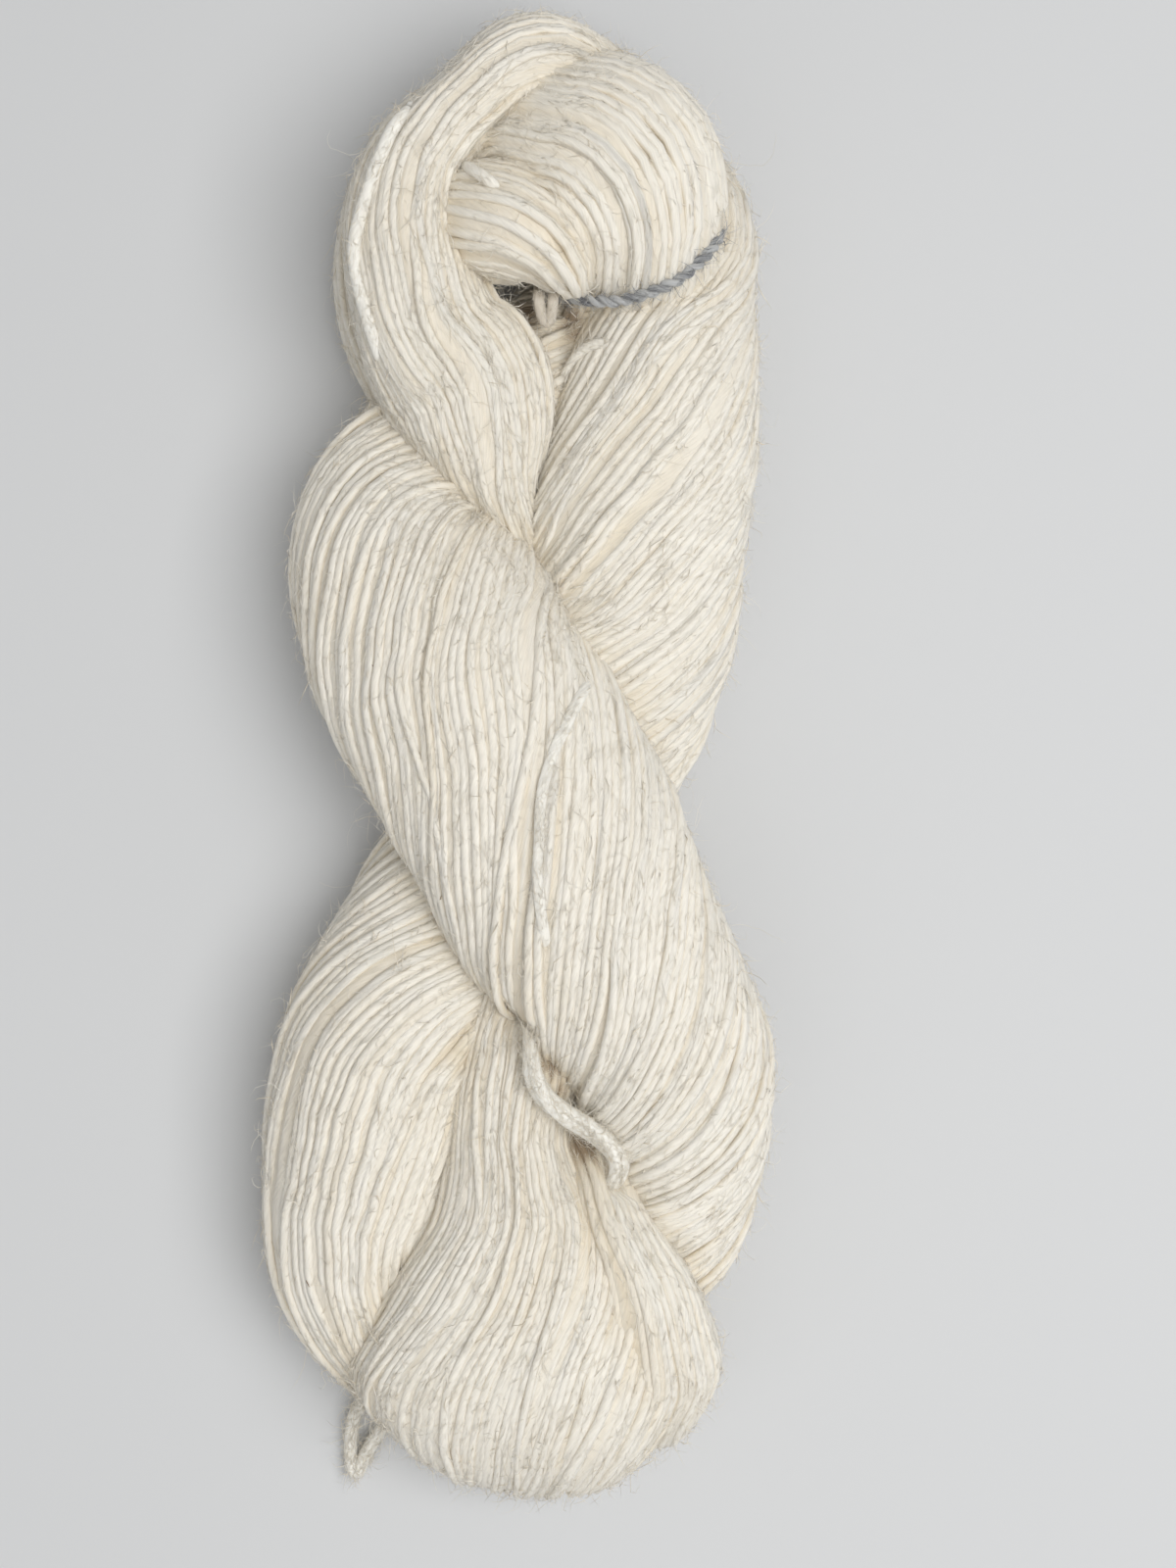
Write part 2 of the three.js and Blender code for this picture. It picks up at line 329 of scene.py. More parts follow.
class HankColours(PropertyGroup):
    """Colours of the wools, the floor and the light."""

    cream: colour("Cream", "Undyed wool where it is clean", "F1ECE1")
    # Tan is also the painted shade deep in the furrows and where bundles touch
    tan: colour("Tan", "Undyed wool where its grease has yellowed it", "E5DAC5")
    # Dust, and painted shade where the hollows are darker than their shape makes them
    dust_and_shade: colour("Soiled", "Undyed wool deep in the hollows, where dust has gathered", "A39078")
    white: colour("White", "Slack yarn, which has less twist", "F7F5EE")
    light_grey: colour("Light grey", "Lighter fibres of the tie", "BDBEBE")
    dark_grey: colour("Dark grey", "Darker fibres of the tie", "63656A")
    straw: colour("Straw", "Bits of plant caught in the wool", "7A5B34")
    floor: colour("Floor", "The plain floor", "D2D3D4")
    daylight: colour("Daylight", "Soft light from all round", "F1F1F0")


def unit(vectors):
    """The vectors, each made one long."""
    return vectors / np.maximum(np.linalg.norm(vectors, axis=-1, keepdims=True), 1e-12)


def smooth(share):
    """0 to 1 with soft ends."""
    share = np.clip(share, 0, 1)
    return share * share * (3 - 2 * share)


def spline(rows, places):
    """Points on a smooth curve through the rows. Place 0 is the first row, 1 the second."""
    rows = np.asarray(rows, float)
    padded = np.vstack([2 * rows[0] - rows[1], rows, 2 * rows[-1] - rows[-2]])
    places = np.clip(places, 0, len(rows) - 1 - 1e-9)
    start = places.astype(int)
    part = (places - start)[..., None]
    a, b, c, d = (padded[start + i] for i in range(4))
    slope = (c - a) * part
    bend = (2 * a - 5 * b + 4 * c - d) * part**2
    twist = (3 * b - a - 3 * c + d) * part**3
    return 0.5 * (2 * b + slope + bend + twist)


def even_places(rows, spacing):
    """Places that lie evenly along the curve through the rows, and how far along it each is."""
    fine = np.linspace(0, len(rows) - 1, 40 * len(rows))
    steps = np.linalg.norm(np.diff(spline(rows, fine)[:, :3], axis=0), axis=1)
    reached = np.concatenate([[0], np.cumsum(steps)])
    along = np.linspace(0, reached[-1], max(4, round(reached[-1] / spacing)) + 1)
    return np.interp(along, reached, fine), along


def drift(rng, rounds, along, amount, cells_round, cell_length):
    """Random values of up to this amount that change smoothly, round a bundle and along it."""
    grid = rng.uniform(-1, 1, (cells_round, int(np.max(along) / cell_length) + 3))
    x = (rounds % 1) * cells_round
    y = np.broadcast_to(along / cell_length, x.shape)
    i, j = x.astype(int) % cells_round, y.astype(int)
    across, on = smooth(x - np.floor(x)), smooth(y - np.floor(y))
    after = (i + 1) % cells_round
    near = grid[i, j] * (1 - across) + grid[after, j] * across
    far = grid[i, j + 1] * (1 - across) + grid[after, j + 1] * across
    return amount * (near * (1 - on) + far * on)


def wander(rng, yarns, along, amount, cell_length):
    """Random values of up to this amount for each yarn, which change smoothly along it."""
    grid = rng.uniform(-1, 1, (yarns, int(np.max(along) / cell_length) + 3))
    y = along / cell_length
    j = y.astype(int)
    on = smooth(y - j)
    return amount * (grid[:, j] * (1 - on) + grid[:, j + 1] * on)


class Bundle:
    """A bundle's cross-sections, spaced evenly along it."""

    def __init__(self, table, spacing):
        rows = np.array(table["rows"], float)
        rows[:, :3] -= HANK_MIDDLE
        rows[:, 2] -= FLATTENED
        self.yarns = table["yarns"]
        places, self.along = even_places(rows, spacing)
        here = spline(rows, places)
        step = 0.02
        ahead = spline(rows, places + step)[:, :3] - spline(rows, places - step)[:, :3]
        self.ahead = unit(ahead)
        self.middle = here[:, :3]
        self.wide, self.thick, self.turn = here[:, 3], here[:, 4], here[:, 5]
        if table["level"]:
            self.side = unit(np.cross(self.ahead, (0, 0, 1)))
        else:
            self.side = np.tile((-1.0, 0, 0), (len(self.ahead), 1))
        self.over = unit(np.cross(self.side, self.ahead))
        self.girth = 2 * math.pi * np.sqrt((self.wide**2 + self.thick**2) / 2)

    def at(self, sections):
        """The same bundle with some of its sections alone."""
        part = copy(self)
        for name in ("along", "ahead", "middle", "wide", "thick", "turn", "side", "over", "girth"):
            setattr(part, name, getattr(self, name)[sections])
        return part

    def skin(self, shares, depth):
        """Points at these shares of the way round, that deep under the skin, and the ways out."""
        turned = (shares + self.turn / 360) % 1
        # Even shares of the girth aren't even angles, so angles are read off a table of them
        fine = np.linspace(0, 2 * math.pi, 181)
        between = (fine[1:] + fine[:-1]) / 2
        angle = np.empty_like(turned)
        for i, (wide, thick) in enumerate(zip(self.wide, self.thick)):
            steps = np.hypot(wide * np.sin(between), thick * np.cos(between))
            reached = np.concatenate([[0], np.cumsum(steps)])
            angle[:, i] = np.interp(turned[:, i], reached / reached[-1], fine)
        cos, sin = np.cos(angle)[..., None], np.sin(angle)[..., None]
        wide, thick = self.wide[:, None], self.thick[:, None]
        out = unit(cos / wide * self.side + sin / thick * self.over)
        points = self.middle + wide * cos * self.side + thick * sin * self.over
        return points - np.broadcast_to(depth, turned.shape)[..., None] * out, out

    def reach(self, points):
        """How far out each point lies, from 0 at the bundle's middle to 1 at its skin and on."""
        nearest = np.empty(len(points), int)
        batch = 4096
        for start in range(0, len(points), batch):
            part = points[start : start + batch]
            apart = ((part[:, None] - self.middle) ** 2).sum(-1)
            nearest[start : start + batch] = apart.argmin(1)
        away = points - self.middle[nearest]
        across = (away * self.side[nearest]).sum(-1) / self.wide[nearest]
        over = (away * self.over[nearest]).sum(-1) / self.thick[nearest]
        # A point past the bundle's ends counts as far out
        past_end, far_out = 4, 9
        past = np.abs((away * self.ahead[nearest]).sum(-1)) > past_end
        return np.hypot(across, over) + far_out * past


def tube_rings(centres, radii, sides, ahead=None):
    """Rings of corners square to each yarn's middle, each turned as little as can be."""
    if ahead is None:
        ahead = unit(np.gradient(centres, axis=1))
    # The first spoke lies level, unless the yarn starts out nearly upright
    level = np.abs(ahead[:, 0, 2:]) < 0.9
    normal = unit(np.cross(ahead[:, 0], np.where(level, (0, 0, 1), (1, 0, 0))))
    normals = np.empty_like(centres)
    for i in range(centres.shape[1]):
        normal = unit(normal - ahead[:, i] * (normal * ahead[:, i]).sum(-1, keepdims=True))
        normals[:, i] = normal
    binormals = np.cross(ahead, normals)
    angle = np.linspace(0, 2 * math.pi, sides, endpoint=False)[:, None]
    spokes = np.cos(angle) * normals[:, :, None] + np.sin(angle) * binormals[:, :, None]
    return centres[:, :, None] + radii[:, :, None, None] * spokes


def blunt_tips(centres, radii):
    """A point half a radius past each end of each yarn."""
    start = centres[:, 0] + unit(centres[:, 0] - centres[:, 1]) * radii[:, :1] / 2
    end = centres[:, -1] + unit(centres[:, -1] - centres[:, -2]) * radii[:, -1:] / 2
    return np.stack([start, end], axis=1)


def skins(name, rings, tips, along, tint, material, wraps=1):
    """One object of closed skins, each stretched over its rings from tip to tip. Its UV map holds
    the distance along a yarn in metres and the way round it, in girths of a yarn."""
    count, sections, sides = rings.shape[:3]
    ring = np.arange(count * sections * sides).reshape(count, sections, sides)
    tip = ring.size + np.arange(2 * count).reshape(count, 2, 1)
    beside = np.roll(ring, -1, axis=2)
    first = np.broadcast_to(tip[:, 0], ring[:, 0].shape)
    last = np.broadcast_to(tip[:, 1], ring[:, 0].shape)

    def listed(*kinds):
        """The values at the corners of each kind of face: along the skin, its start, its end."""
        return np.concatenate([np.stack(corners, axis=-1).ravel() for corners in kinds])

    corners = listed(
        [ring[:, :-1], beside[:, :-1], beside[:, 1:], ring[:, 1:]],
        [first, beside[:, 0], ring[:, 0]],
        [last, ring[:, -1], beside[:, -1]],
    )
    sizes = np.repeat([4, 3], [count * (sections - 1) * sides, 2 * count * sides])

    mesh = bpy.data.meshes.new(name)
    points = np.concatenate([rings.reshape(-1, 3), tips.reshape(-1, 3)]) * MM
    mesh.vertices.add(len(points))
    mesh.vertices.foreach_set("co", points.astype(np.float32).ravel())
    mesh.loops.add(len(corners))
    mesh.loops.foreach_set("vertex_index", corners.astype(np.int32))
    mesh.polygons.add(len(sizes))
    mesh.polygons.foreach_set("loop_start", (np.cumsum(sizes) - sizes).astype(np.int32))
    mesh.update(calc_edges=True)
    mesh.polygons.foreach_set("use_smooth", np.ones(len(sizes), bool))

    distance = np.broadcast_to(along, (count, sections)) * MM
    side = wraps / sides
    u = np.broadcast_to(distance[:, :, None], ring.shape)
    v = np.broadcast_to(np.arange(sides) * side, ring.shape)
    uv = np.stack([
        listed([u[:, :-1], u[:, :-1], u[:, 1:], u[:, 1:]], [u[:, 0]] * 3, [u[:, -1]] * 3),
        listed(
            [v[:, :-1], v[:, :-1] + side, v[:, 1:] + side, v[:, 1:]],
            [v[:, 0], v[:, 0] + side, v[:, 0]],
            [v[:, 0], v[:, 0], v[:, 0] + side],
        ),
    ], axis=-1)
    mesh.uv_layers.new(name="yarn").data.foreach_set("uv", uv.astype(np.float32).ravel())
    tint = np.asarray(tint, float)
    tints = np.broadcast_to(tint if tint.ndim == 3 else tint[..., None], ring.shape)
    at_tips = tints[:, [0, -1]].mean(-1)
    mesh.attributes.new("tint", "FLOAT", "POINT").data.foreach_set(
        "value", np.concatenate([tints.ravel(), at_tips.ravel()]).astype(np.float32)
    )
    mesh.materials.append(material)
    piece = bpy.data.objects.new(name, mesh)
    bpy.context.scene.collection.objects.link(piece)
    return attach(piece, "root")


def add_node(tree, kind, settings=None, inputs=None):
    """Adds a shader node. An input is a number, a colour or another node's output."""
    node = tree.nodes.new("ShaderNode" + kind)
    for name, value in (settings or {}).items():
        setattr(node, name, value)
    for name, value in (inputs or {}).items():
        if isinstance(value, bpy.types.NodeSocket):
            tree.links.new(value, node.inputs[name])
        else:
            node.inputs[name].default_value = value
    return node


def wool(name, plain, warm, dust_and_shade, thickness, marl=0.0):
    """Spun wool: fine fibres that wind round the yarn, soft light that sinks in, a faint sheen."""
    made = bpy.data.materials.new(name)
    made.use_nodes = True
    tree = made.node_tree
    tree.nodes.clear()
    yarn = add_node(tree, "UVMap", {"uv_map": "yarn"})
    split = add_node(tree, "SeparateXYZ", inputs={"Vector": yarn.outputs["UV"]})
    round_it = add_node(
        tree, "Math", {"operation": "MULTIPLY"}, {0: split.outputs["Y"], 1: math.pi * thickness}
    )
    flat = add_node(
        tree, "CombineXYZ", inputs={"X": split.outputs["X"], "Y": round_it.outputs[0]}
    )
    # Fibres wind round the yarn and stay in sight for a few millimetres. They lie further apart
    # than real ones, so that they show.
    lean, in_sight, apart = math.radians(20), 3 * MM, 0.4 * MM
    fibres = add_node(
        tree, "Mapping", {"vector_type": "TEXTURE"},
        {"Vector": flat.outputs[0], "Rotation": (0, 0, lean), "Scale": (in_sight, apart, 1)},
    )
    streaks = add_node(
        tree, "TexNoise", {"noise_dimensions": "2D"},
        {"Vector": fibres.outputs[0], "Scale": 1.0, "Detail": 3.0, "Roughness": 0.6},
    )
    place = add_node(tree, "TexCoord")
    patch_width = 28 * MM
    patches = add_node(
        tree, "TexNoise",
        inputs={"Vector": place.outputs["Object"], "Scale": 1 / patch_width, "Detail": 2.0},
    )
    tint = add_node(tree, "Attribute", {"attribute_name": "tint"})
    warmth = add_node(
        tree, "Math", {"operation": "ADD"}, {0: patches.outputs["Fac"], 1: tint.outputs["Fac"]}
    )
    warmth = add_node(
        tree, "Math", {"operation": "MULTIPLY_ADD"},
        {0: streaks.outputs["Fac"], 1: marl, 2: warmth.outputs[0]},
    )
    warmth = add_node(
        tree, "MapRange", {"interpolation_type": "SMOOTHSTEP"},
        {"Value": warmth.outputs[0], "From Min": 0.3, "From Max": 1.8},
    )
    base = add_node(
        tree, "Mix", {"data_type": "RGBA"},
        {"Factor": warmth.outputs["Result"], "A": plain, "B": warm},
    )
    # Past the tint of the warmest wool the yarn darkens towards dust and painted shade, as deep in
    # the hollows
    dust_and_shade_tint = add_node(
        tree, "MapRange",
        inputs={"Value": tint.outputs["Fac"], "From Min": 1.2, "From Max": 2.6},
    )
    base = add_node(
        tree, "Mix", {"data_type": "RGBA"},
        {"Factor": dust_and_shade_tint.outputs["Result"], "A": base.outputs["Result"], "B": dust_and_shade},
    )
    shade = add_node(
        tree, "MapRange",
        inputs={"Value": streaks.outputs["Fac"], "From Min": 0.25, "From Max": 0.75,
                "To Min": 0.89, "To Max": 1.05},
    )
    seen = add_node(
        tree, "Mix", {"data_type": "RGBA", "blend_type": "MULTIPLY"},
        {"Factor": 1.0, "A": base.outputs["Result"], "B": shade.outputs["Result"]},
    )
    bump = add_node(
        tree, "Bump",
        inputs={"Height": streaks.outputs["Fac"], "Strength": 0.45, "Distance": 0.35 * MM},
    )
    surface = add_node(
        tree, "BsdfPrincipled",
        inputs={
            "Base Color": seen.outputs["Result"], "Normal": bump.outputs["Normal"],
            "Roughness": 0.9, "IOR": 1.54, "Specular IOR Level": 0.25,
            "Subsurface Weight": 0.35, "Subsurface Radius": (1.0, 1.0, 1.0),
            "Subsurface Scale": 0.7 * MM, "Sheen Weight": 0.2, "Sheen Roughness": 0.5,
        },
    )
    output = add_node(tree, "OutputMaterial")
    tree.links.new(surface.outputs["BSDF"], output.inputs["Surface"])
    return made


def fibre_material(name, light, dark):
    """Single fibres, too fine for a pattern: each is one shade between two, with a soft shine."""
    made = bpy.data.materials.new(name)
    made.use_nodes = True
    tree = made.node_tree
    surface = tree.nodes["Principled BSDF"]
    surface.inputs["Roughness"].default_value = 0.7
    surface.inputs["Sheen Weight"].default_value = 0.2
    tint = add_node(tree, "Attribute", {"attribute_name": "tint"})
    base = add_node(
        tree, "Mix", {"data_type": "RGBA"},
        {"Factor": tint.outputs["Fac"], "A": light, "B": dark},
    )
    tree.links.new(base.outputs["Result"], surface.inputs["Base Color"])
    return made


def plain_material(name, base, roughness):
    """One even finish, for what is too fine or too plain to carry a pattern."""
    made = bpy.data.materials.new(name)
    made.use_nodes = True
    surface = made.node_tree.nodes["Principled BSDF"]
    surface.inputs["Base Color"].default_value = base
    surface.inputs["Roughness"].default_value = roughness
    return made


def route(points, spacing):
    """A free yarn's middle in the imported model's frame, and the distance along it."""
    rows = np.asarray(points, float) - HANK_MIDDLE
    places, along = even_places(rows, spacing)
    return spline(rows, places), along


def lay_cord(node):
    """Hides the imported model's part for a free yarn, which is built here in its place."""
    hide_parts(node)


def plies(centres, along, reach, lead):
    """The middles of two plies that wind round a yarn's middle, one turn for each lead."""
    # Of four spokes round the middle, the first two are square to each other
    spokes = tube_rings(centres[None], np.ones((1, len(centres))), 4)[0] - centres[:, None]
    angle = 2 * math.pi * along / lead
    both = []
    for start in (0, math.pi):
        cos, sin = np.cos(angle + start)[:, None], np.sin(angle + start)[:, None]
        both.append(centres + reach * (cos * spokes[:, 0] + sin * spokes[:, 1]))
    return np.stack(both)


class HANK_OT_stage(Operator):
    """Plain pale floor, soft light and the camera straight above the hank"""

    bl_idname = "hank.stage"
    bl_label = "Stage"

    def execute(self, context):
        colours = context.scene.hank_colours
        bpy.ops.mesh.primitive_plane_add(size=FLOOR_WIDTH, location=(0, 0, 0))
        floor = context.object
        floor.name = "floor"
        floor.data.materials.append(plain_material("Matt painted board", colours.floor, 0.85))

        for name, (place, width, power) in LIGHTS.items():
            light = bpy.data.lights.new(name, "AREA")
            light.shape = "SQUARE"
            light.size = width
            light.energy = power
            lamp = bpy.data.objects.new(name, light)
            lamp.location = place
            lamp.rotation_euler = (-Vector(place)).to_track_quat("-Z", "Y").to_euler()
            context.scene.collection.objects.link(lamp)

        world = bpy.data.worlds.new("soft_daylight")
        world.use_nodes = True
        background = world.node_tree.nodes["Background"]
        background.inputs["Color"].default_value = colours.daylight
        background.inputs["Strength"].default_value = DAYLIGHT_STRENGTH
        context.scene.world = world
        context.scene.view_settings.view_transform = "Standard"

        camera = bpy.data.cameras.new("camera")
        camera.sensor_width = SENSOR_WIDTH
        camera.lens = SENSOR_WIDTH * FOCAL_PIXELS / FRAME_PIXELS
        camera.clip_start = 10 * MM
        eye = bpy.data.objects.new("camera", camera)
        eye.location = [value * MM for value in CAMERA_PLACE]
        context.scene.collection.objects.link(eye)
        context.scene.camera = eye
        return {"FINISHED"}


class HANK_OT_free_yarns(Operator):
    """The grey tie, the thick loose end and the slack bight, which lie free on the hank"""

    bl_idname = "hank.free_yarns"
    bl_label = "Free yarns"

    def execute(self, context):
        sizes, colours = context.scene.hank_sizes, context.scene.hank_colours
        rng = np.random.default_rng(3)
        yarn = sizes.yarn / MM
        white = wool(
            "White wool, slack singles", colours.white, colours.cream, colours.dust_and_shade, sizes.yarn
        )

        # Two plies that bulge out at each half turn, one mostly of light wool, one of both
        light, dark = colours.light_grey, colours.dark_grey
        ply_tints = np.array([[-1.8], [-1.0]])
        grey = wool("Marled grey wool, two-ply", light, dark, dark, sizes.yarn, marl=3.0)
        middle, along = route(TIE, 0.4)
        centres = plies(middle, along, reach=0.33 * yarn, lead=5.2)
        radii = 0.36 * yarn * (1 + wander(rng, 2, along, 0.1, 3))
        tie = skins(
            "grey_tie_yarn", tube_rings(centres, radii, FREE_SIDES), blunt_tips(centres, radii),
            along, ply_tints + wander(rng, 2, along, 0.5, 2.5), grey,
        )
        lay_cord("grey_tie")
        FREE["tie"] = (centres, radii)

        # Hardly twisted wool. It starts thin, is thick from a third of its length on, and thins
        # again over its last quarter.
        middle, along = route(LOOSE_END, 0.6)
        share = along / along[-1]
        thick = 0.25 + 0.9 * smooth(share / 0.35) * smooth((1 - share) / 0.25 + 0.2)
        radii = sizes.loose_end / MM / 2 * thick
        rings = tube_rings(middle[None], radii[None], LOOSE_END_SIDES)
        # Three soft locks and seven finer ones turn slowly round it
        lead = 17
        angle = np.linspace(0, 2 * math.pi, LOOSE_END_SIDES, endpoint=False)[None, :]
        turn = 2 * math.pi * along[:, None] / lead
        locks = 0.07 * np.cos(3 * angle - turn) + 0.05 * np.cos(7 * angle - 1.4 * turn)
        swell = 1 + locks + wander(rng, LOOSE_END_SIDES, along, 0.05, 5).T
        rings = middle[None, :, None] + (rings - middle[None, :, None]) * swell[None, :, :, None]
        # Its tint is warm at its start, painted shade where it comes out from under the front ply,
        # and white further on
        end = skins(
            "loose_end_yarn", rings, blunt_tips(middle[None], radii[None]), along,
            0.8 - 1.2 * smooth(share / 0.4)[None], white,
        )
        lay_cord("loose_end")
        FREE["loose_end"] = (middle[None], radii[None])

        middle, along = route(SLACK_BIGHT, 0.8)
        radii = 0.78 * yarn * (1 + wander(rng, 1, along, 0.12, 8))
        bight = skins(
            "slack_bight_yarn", tube_rings(middle[None], radii, FREE_SIDES),
            blunt_tips(middle[None], radii), along, 0.0, white,
        )
        lay_cord("slack_bight")
        FREE["slack_bight"] = (middle[None], radii)
        return {"FINISHED"}


def nearness(points, middle, reach):
    """How near the points lie to a place, from 1 there down to 0 well past its reach."""
    return np.exp(-((points - middle) ** 2).sum(-1) / reach**2)


def felted(points):
    """How far the wool has felted at each place, from 0 to 1."""
    return sum(nearness(points[..., :2], spot[:2], spot[2]) for spot in FELTED)


def dust_and_shade_tint(points):
    """How much dust and painted shade darken each place, as a tint."""
    return sum(spot[4] * nearness(points, spot[:3], spot[3]) for spot in DUST_AND_SHADE_SPOTS)


def wind(bundle, sizes, rng):
    """A bundle's outer yarns, as their middles, radii and ways out, and the web of loose wool
    between them, as rings of corners, the ways out, how high it stands and its sections."""
    count, along, size = bundle.yarns, bundle.along, sizes.yarn / MM

    def vary(amount, cell_length):
        return wander(rng, count, along, amount, cell_length)

    # Where the bundle is narrow, some of its yarns have no room in the skin and sink under it.
    # The golden section spreads them evenly.
    apart, golden, soft_edge = 1.03, 0.618034, 0.15
    room = bundle.girth / (count * size * apart)
    rank = np.arange(count) * golden % 1
    sunk = smooth((rank[:, None] - room) / soft_edge)
    own = 1 + vary(*LONG_SLUBS) + vary(*SHORT_SLUBS)
    narrowing, sinking = 0.85, 1.5
    width = own * (1 - narrowing * sunk)
    width = width / width.sum(axis=0)
    # Groups of yarns crowd together or part, and some yarns cross their neighbours
    group = np.broadcast_to((np.arange(count) / count)[:, None], width.shape)
    crowd = drift(rng, group, along, *CROWDING)
    stretch = 1 + (np.roll(crowd, -1, axis=0) - np.roll(crowd, 1, axis=0)) / 2
    crossing = vary(*CROSSING) * (rng.random((count, 1)) < CROSSING_SHARE)
    shares = np.cumsum(width, axis=0) - width / 2 + crowd / count
    # A yarn fills the room that it has and presses a little into its neighbours
    pressed, thinnest, thickest = 0.56, 0.34 * size, 0.62 * size
    radii = np.clip(pressed * width * stretch * bundle.girth, thinnest, thickest)
    radii *= 1 + vary(*UNEVEN_SKIN)
    relief = drift(rng, group, along, sizes.relief / MM, *RELIEF_GROUPS)
    inset = 0.35
    depth = inset + radii - relief
    raised = RAISED * smooth(np.abs(crossing) / 0.8)
    aside = (crossing + vary(*ASIDE)) / count
    depths = depth + sinking * sunk - raised + vary(*UP_AND_DOWN)
    middles, out = bundle.skin(shares + aside, depths)
    middles[..., 2] = np.maximum(middles[..., 2], radii)

    # The web fills the furrows part of the way, and here and there it hides a yarn
    some = np.r_[0 : len(along) - 1 : 2, len(along) - 1]
    shares, depth, radii_here = shares[:, some], depth[:, some], radii[:, some]
    after = np.concatenate([shares[1:], shares[:1] + 1])
    shares = np.stack([shares, (shares + after) / 2], axis=1).reshape(2 * count, -1)
    depth = np.stack([depth, (depth + np.roll(depth, -1, axis=0)) / 2], axis=1)
    depth = depth.reshape(shares.shape)
    high = np.stack([radii_here, radii_here], axis=1).reshape(shares.shape)
    cover = WEB_COVER + wander(rng, 2 * count, along[some], *WEB_VARIES)
    cover[::2] -= WEB_HOLLOW
    cover[1::2] += WEB_HOLLOW
    part = bundle.at(some)
    corners, _ = part.skin(shares, depth)
    cover += WEB_FELTED * felted(corners)
    corners, web_out = part.skin(shares, depth - cover * high)
    lowest = 0.6
    corners[..., 2] = np.maximum(corners[..., 2], lowest)
    return (middles, radii, out), (corners, web_out, cover, part)


def creases(name, middles, bundles):
    """How close the yarns lie to another bundle, from 0 to 1 where they touch it."""
    points = middles.reshape(-1, 3)
    others = [other.reach(points) for key, other in bundles.items() if key != name]
    starts_at = 1.24
    share = (starts_at - np.min(others, axis=0)) / (starts_at - 1)
    return smooth(share).reshape(middles.shape[:2])


def furrows(rings, middles, radii, out):
    """How far down between the yarns each corner of the rings lies, from 0 on top to 1."""
    spokes = (rings - middles[:, :, None]) / radii[:, :, None, None]
    rise = (spokes * out[:, :, None]).sum(-1)
    top, bottom = 0.75, -0.35
    return smooth((top - rise) / (top - bottom))


def make_way(middles, radii, out, cord, radius):
    """Presses yarns in under a cord that lies across them, but not where it dives between them."""
    nearest = ((middles[..., None, :] - cord) ** 2).sum(-1).argmin(-1)
    away = middles - cord[nearest]
    above = (away * out).sum(-1)
    aside = np.sqrt(np.maximum((away**2).sum(-1) - above**2, 0))
    push = np.maximum(above + radii + 0.3 * radius, 0)
    # The push fades beside the cord, and where the yarns lie well over it
    beside, fade, well_over = 3.5, 3, 3.2
    push *= smooth((radius + beside - aside) / fade)
    push *= smooth((well_over - above) / (well_over / 2))
    return middles - push[..., None] * out


class HANK_OT_wound_yarns(Operator):
    """The bundles of wound yarn, and the loose wool between the yarns"""

    bl_idname = "hank.wound_yarns"
    bl_label = "Wound yarns"

    def execute(self, context):
        sizes, colours = context.scene.hank_sizes, context.scene.hank_colours
        cream = wool(
            "Cream wool, woollen-spun singles", colours.cream, colours.tan, colours.dust_and_shade,
            sizes.yarn,
        )
        tie, _ = route(TIE, 0.8)
        end, _ = route(LOOSE_END, 0.8)
        bundles = {name: Bundle(table, SECTIONS_APART) for name, table in BUNDLES.items()}
        for seed, (name, bundle) in enumerate(bundles.items()):
            rng = np.random.default_rng(20 + seed)
            (middles, radii, out), (corners, web_out, cover, part) = wind(bundle, sizes, rng)
            none = np.zeros(corners.shape[:2])
            for cord, thick in ((tie, sizes.yarn), (end, sizes.loose_end)):
                middles = make_way(middles, radii, out, cord, thick / MM / 2)
                corners = make_way(corners, none, web_out, cord, thick / MM / 2)
            rings = tube_rings(middles, radii, WOUND_SIDES)
            # Each yarn has a tint of its own, which changes a little along it
            tint = rng.normal(0, 0.1, (bundle.yarns, 1))
            tint = tint + wander(rng, bundle.yarns, bundle.along, 0.1, 30)
            # Painted shade: warmer where the yarns touch another bundle and deep between them, with
            # the dust and painted shade of the hollows
            tint += CREASE_SHADE_TINT * creases(name, middles, bundles)
            depth = furrows(rings, middles, radii, out)
            tint = tint[..., None] + FURROW_SHADE_TINT * depth + dust_and_shade_tint(rings)
            piece = skins(
                name + "_yarns", rings, blunt_tips(middles, radii), bundle.along, tint, cream,
            )
            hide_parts("hank_body")
            SKIN[name] = (bundle, middles, radii, out)

            # The lower the web lies in the furrows, the warmer its tint: painted shade, as on the
            # yarns' lower sides
            tint = 0.8 - 0.7 * np.clip(cover, 0, 1) + CREASE_SHADE_TINT * creases(name, corners, bundles)
            tint += dust_and_shade_tint(corners)
            rings = corners[::-1].transpose(1, 0, 2)[None]
            wraps = bundle.girth.max() / (math.pi * sizes.yarn / MM)
            piece = skins(
                name + "_loose_wool", rings, part.middle[None, [0, -1]], part.along,
                tint[::-1].T[None], cream, wraps,
            )
        return {"FINISHED"}


# What the yarns leave for the pieces that lie on them or grow from them: each bundle with its
# outer yarns, and the middles and radii of the yarns that lie free
SKIN = {}
FREE = {}


def surface_height(places):
    """How high the hank stands under each place seen from above."""
    tops = np.concatenate([
        np.dstack([middles[..., :2], (middles[..., 2] + radii)[..., None]]).reshape(-1, 3)
        for _, middles, radii, _ in SKIN.values()
    ])
    heights = []
    within = 1.8
    for place in places:
        under = ((tops[:, :2] - place) ** 2).sum(1) < within**2
        heights.append(tops[under, 2].max() if under.any() else 0.0)
    return np.array(heights)


